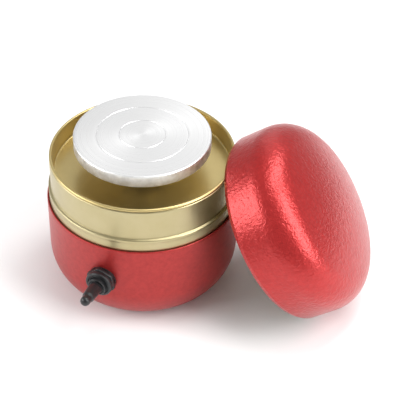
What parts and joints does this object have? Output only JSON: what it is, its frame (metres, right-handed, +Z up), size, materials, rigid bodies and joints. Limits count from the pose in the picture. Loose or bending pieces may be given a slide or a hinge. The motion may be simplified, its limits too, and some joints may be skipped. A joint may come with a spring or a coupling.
{
  "type": "mini pottery wheel",
  "caption": "Small motor-driven pottery wheel in a round two-part tin: metal wheel head over a splash pan, side toggle switch, and a domed lid leaning on it.",
  "frame": {"origin": "on the wheel's axis, on the surface that the tin stands on", "axes": "+Z up along the wheel's axis; the toggle switch is near -Y and the leaning lid is on the +X side"},
  "size_m": [0.1859, 0.1331, 0.1021],
  "materials": {
    "red_enamel": "satin hammered enamel",
    "gold_lacquer": "clear gold lacquer on tinplate",
    "aluminium": "turned",
    "steel": "zinc plated",
    "bronze": "sintered",
    "copper": "enamelled wire",
    "core_steel": "laminated",
    "magnet": "matt",
    "carbon": "matt",
    "black_rubber": "satin",
    "black_plastic": "satin",
    "white_plastic": "satin",
    "red_pvc": "gloss",
    "black_pvc": "gloss"
  },
  "bodies": {
    "base": {"base_shell": "red_enamel", "neck_ring": "gold_lacquer", "splash_pan": "gold_lacquer", "foot_ring": "black_rubber", "motor_bracket": "steel", "bracket_screws": "steel", "bracket_nuts": "steel", "shaft_gasket": "black_rubber", "motor_can": "steel", "motor_magnets": "magnet", "motor_end_cap": "white_plastic", "motor_front_bush": "bronze", "motor_rear_bush": "bronze", "motor_brushes": "carbon", "motor_terminals": "bronze", "motor_face_screws": "steel", "switch_body": "black_plastic", "switch_frame": "steel", "switch_bushing": "steel", "switch_terminals": "bronze", "switch_inner_nut": "steel", "switch_lock_washer": "steel", "boot_nut": "black_rubber", "boot_seal": "black_rubber", "boot_base": "black_rubber", "jack_body": "black_plastic", "jack_pin": "steel", "jack_nut": "steel", "jack_lock_washer": "steel", "jack_terminals": "bronze", "supply_lead_red": "red_pvc", "supply_lead_black": "black_pvc", "motor_lead_red": "red_pvc", "motor_lead_black": "black_pvc", "switch_jumpers": "red_pvc"},
    "wheel": {"wheel_head": "aluminium", "hub": "aluminium", "hub_screws": "steel", "hub_grub_screw": "steel", "slinger": "black_plastic", "motor_shaft": "steel", "armature_core": "core_steel", "armature_windings": "copper", "commutator": "copper"},
    "switch_lever": {"toggle_lever": "steel", "boot_sleeve": "black_rubber"},
    "lid": {"lid_shell": "red_enamel"}
  },
  "joints": [
    {"name": "wheel_spin", "type": "hinge", "parent": "base", "child": "wheel", "pos_m": [0, 0, 0.0784], "axis": [0, 0, 1], "continuous": true},
    {"name": "switch_toggle", "type": "hinge", "parent": "base", "child": "switch_lever", "pos_m": [-0.01971, -0.05135, 0.0346], "axis": [0.8795, -0.3376, -0.3355], "range_deg": [0, 25]},
    {"name": "lid_lift", "type": "slide", "parent": "base", "child": "lid", "axis": [0, 0, 1], "range_m": [0, 0.12]}
  ]
}
